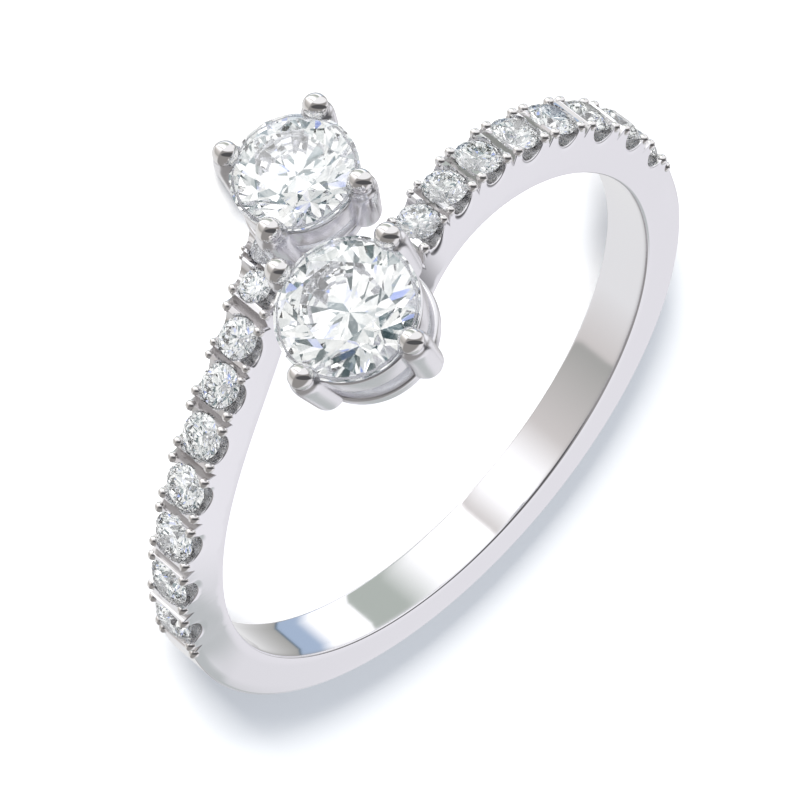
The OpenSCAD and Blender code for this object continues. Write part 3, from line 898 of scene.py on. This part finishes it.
# %% [markdown]
# ## A tent painted by direction
# Jewellery stands in a white tent with a few grey cards, because a mirror only looks like metal
# when it has something darker to show. Real cards could be modelled as planes around the ring,
# but painting them on the world by direction is faster and casts no shadow. One helper makes a
# node, feeds it and hands back its output, so the lines below read like small formulas.

# %% Helpers that paint the tent
world = bpy.data.worlds.new("light_tent")
bpy.context.scene.world = world
world.use_nodes = True
tent, join = world.node_tree.nodes, world.node_tree.links.new
look = add(tent, "TexCoord")[0].outputs["Generated"]


def wire(kind, *feeds, out=0, **settings):
    """One tent node: its settings, then its inputs in order, each fed by a socket or a value."""
    node, = add(tent, kind)
    for name, value in settings.items():
        setattr(node, name, value)
    for socket, feed in zip(node.inputs, feeds):
        if isinstance(feed, bpy.types.NodeSocket):
            join(feed, socket)
        elif feed is not None:
            socket.default_value = feed
    return node.outputs[out]


def dot(vector, axis):
    """Cosine between a vector socket and a fixed unit axis."""
    return wire("VectorMath", vector, np.asarray(axis).tolist(), out=1, operation="DOT_PRODUCT")


def soft(value, low, high):
    """Mask that rises smoothly from 0 at low to 1 at high; low may be the larger one."""
    return wire("MapRange", value, low, high, interpolation_type="SMOOTHSTEP")


def paint(last, mask, tone):
    """Mixes a tone over the last colour where the mask is 1; each may be a socket or a flat colour."""
    mix, = add(tent, "Mix")
    mix.data_type = "RGBA"
    join(mask, mix.inputs["Factor"])
    for label, colour in (("A", last), ("B", tone)):
        if isinstance(colour, tuple):
            mix.inputs[label].default_value = (*colour, 1)
        else:
            join(colour, mix.inputs[label])
    return mix.outputs["Result"]


def ramp(value, stops, interpolation="LINEAR"):
    """Colour by value, from a table of (place, tone) with rising places."""
    node, = add(tent, "ValToRGB")
    node.color_ramp.interpolation = interpolation
    ends = node.color_ramp.elements
    for k in (0, -1):
        ends[k].position, ends[k].color = stops[k][0], (*stops[k][1], 1)
    for place, tone in stops[1:-1]:
        ends.new(place).color = (*tone, 1)
    join(value, node.inputs["Fac"])
    return node.outputs["Color"]


print("the tent starts with", len(tent), "nodes")

# %% [markdown]
# ## Discs and ovals
# A flat wall shows one small part of the tent, so a soft disc there sets its tone. A ball shows
# nearly all of the tent. What it shows at a place follows from the half-way rule: the normal of
# a mirror lies half way between the ray that it throws and the way to the viewer. With that
# rule a card can be given as an oval on the ball, as a photographer would draw it.

# %% Discs for the walls, ovals for the balls
to_camera = camera_turn[:, 2].tolist()
normal = wire("VectorMath", wire("VectorMath", look, to_camera, operation="ADD"), operation="NORMALIZE")


def disc(last, direction, start, full, tone):
    """Soft disc: the tone rises from nothing at start degrees off a direction to all of it at full."""
    aim = np.array(direction) / np.linalg.norm(direction)
    return paint(last, soft(dot(look, aim), *np.cos(np.radians([start, full])).tolist()), tone)


def oval(last, middle, half, tone, edge=0.12):
    """Card that balls show as an oval: middle and half sizes of the normals, right and up."""
    parts = [wire("Math", dot(normal, axis), 1 / size, -at / size, operation="MULTIPLY_ADD")
             for axis, at, size in zip(camera_turn.T, middle, half)]
    far = wire("VectorMath", wire("CombineXYZ", *parts), out=1, operation="LENGTH")
    return paint(last, soft(far, 1 + edge, 1 - edge), tone)


def wall_view(right, up):
    """Direction that the flat wall throws towards a point of the picture, given in radians."""
    seen = -cam_back + right * cam_right + up * cam_up
    return REST @ (seen * [1, 1, -1])


print("mirror normals come from the half-way rule")

# %% [markdown]
# ## Cards round the hoop
# The inside of the hoop is a bent mirror: along the hoop it shows the tent all the way round. So
# its bright and dark stretches are cards at compass angles: a lamp, white paper, warm and sage
# grey cards and a blue one with a dark edge. Only mirrors that face across the hoop see them.

# %% Cards by compass angle
WHITE, LAMP, PALE, WARM = (1.2, 1.2, 1.2), (1.9, 1.9, 1.9), (0.8, 0.8, 0.8), (0.65, 0.62, 0.6)
DUSK, SAGE, BLUE, EDGE = (0.4, 0.4, 0.38), (0.46, 0.5, 0.46), (0.4, 0.5, 0.65), (0.1, 0.15, 0.2)
CARDS = [(5, PALE), (115, PALE), (149, DUSK), (150.5, EDGE), (152, BLUE), (164, BLUE), (173, WHITE),
         (194, WHITE), (195.5, SAGE), (213, SAGE), (232, WHITE), (243, LAMP), (256, LAMP), (258, WARM),
         (270, WHITE), (282, WHITE), (300, WARM), (336, DUSK), (338, WARM)]


def panorama(last):
    """Cards by the ray's compass angle, where the mirror's normal is nearly square to the hoop's axis."""
    lean = wire("Math", dot(normal, REST[:, 2]), 0.3, operation="ADD")
    mask = soft(wire("Math", lean, operation="ABSOLUTE"), 0.50, 0.37)
    split, = add(tent, "SeparateXYZ")
    join(look, split.inputs[0])
    turn = wire("Math", split.outputs["Y"], split.outputs["X"], operation="ARCTAN2")
    stops = sorted(((angle + 180) % 360 / 360, tone) for angle, tone in CARDS)
    return paint(last, mask, ramp(wire("MapRange", turn, -np.pi, np.pi), stops))


print("cards round the hoop:", len(CARDS))

# %% [markdown]
# ## Putting the tent up
# Light Path tells the world what kind of ray asks for its colour. Mirrors see the cards. Rays
# that leave a stone see a lively room, because diamonds are judged by the sparkle of many small
# lights and darks. Rays that light the paper see a plain pale sky, so its shadow is bluish.

# %% Mirrors, stones and paper each see their own light
mirror = disc((0.30, 0.29, 0.285), wall_view(0, 0), 55, 32, (0.86, 0.85, 0.88))
mirror = disc(mirror, wall_view(-0.149, -0.40), 25, 16.5, (0.50, 0.525, 0.525))
mirror = disc(mirror, (-0.28, 0.95, 0.05), 26, 13, (0.80, 0.79, 0.82))
mirror = oval(mirror, (0.2, 0.42), (0.62, 0.30), (0.97, 0.97, 0.99))
mirror = panorama(mirror)
mirror = oval(mirror, (0.3, -0.12), (0.62, 0.16), (0.09, 0.09, 0.095))

ROOM = [(0.35, (0.03, 0.07, 0.08)), (0.41, (0.20, 0.28, 0.31)), (0.445, (0.86, 0.89, 0.89)),
        (0.57, (1.15, 1.15, 1.13)), (0.583, (0.28, 0.40, 0.95)), (0.597, (1.15, 1.15, 1.15)),
        (0.68, (2.2, 2.2, 2.2))]
ROOM_SCALE, ROOM_DETAIL = 4.2, 1.0
room = ramp(wire("TexNoise", look, None, ROOM_SCALE, ROOM_DETAIL), ROOM, "EASE")
viewer = disc(room, to_camera, 8, 4, (0.66, 0.69, 0.72))

path, = add(tent, "LightPath")
light = paint(mirror, path.outputs["Transmission Depth"], room)
light = paint(light, path.outputs["Is Transmission Ray"], viewer)
light = paint(light, path.outputs["Is Diffuse Ray"], (0.62, 0.66, 0.72))
join(light, tent["Background"].inputs["Color"])
print("tent nodes:", len(tent))

# %% [markdown]
# ## A low window
# One soft lamp stands low in front of the head, so the ring's shadow falls away from the viewer.
# A sun would give the same direction but a hard edge; a small area lamp close by gives the soft
# edge that grows with distance. Light has to bounce often inside a diamond before it comes
# out, so the limits for bounces are raised too.

# %% Window lamp and light bounces
def soft_lamp(name, place, size, watts, tone):
    """Square area lamp at a place in metres, facing the ring, that mirrors do not show."""
    data = bpy.data.lights.new(name, "AREA")
    data.size, data.energy, data.color = size, watts, tone
    lamp = bpy.data.objects.new(name, data)
    bpy.context.scene.collection.objects.link(lamp)
    z = np.array(place) / np.linalg.norm(place)
    x = np.cross([0, 0, 1.0], z)
    x /= np.linalg.norm(x)
    m = np.eye(4)
    m[:3, 0], m[:3, 1], m[:3, 2], m[:3, 3] = x, np.cross(z, x), z, place
    lamp.matrix_world = Matrix(m.tolist())
    lamp.visible_glossy = lamp.visible_transmission = False
    return lamp


soft_lamp("window_lamp", (-0.02, -0.55, 0.21), 0.13, 7.5, (1.0, 0.985, 0.95))
scene = bpy.context.scene
scene.view_settings.view_transform = "Standard"
scene.cycles.use_denoising = True
scene.cycles.max_bounces = 20
scene.cycles.glossy_bounces = 14
scene.cycles.transmission_bounces = 16
print("lamp and bounces set")
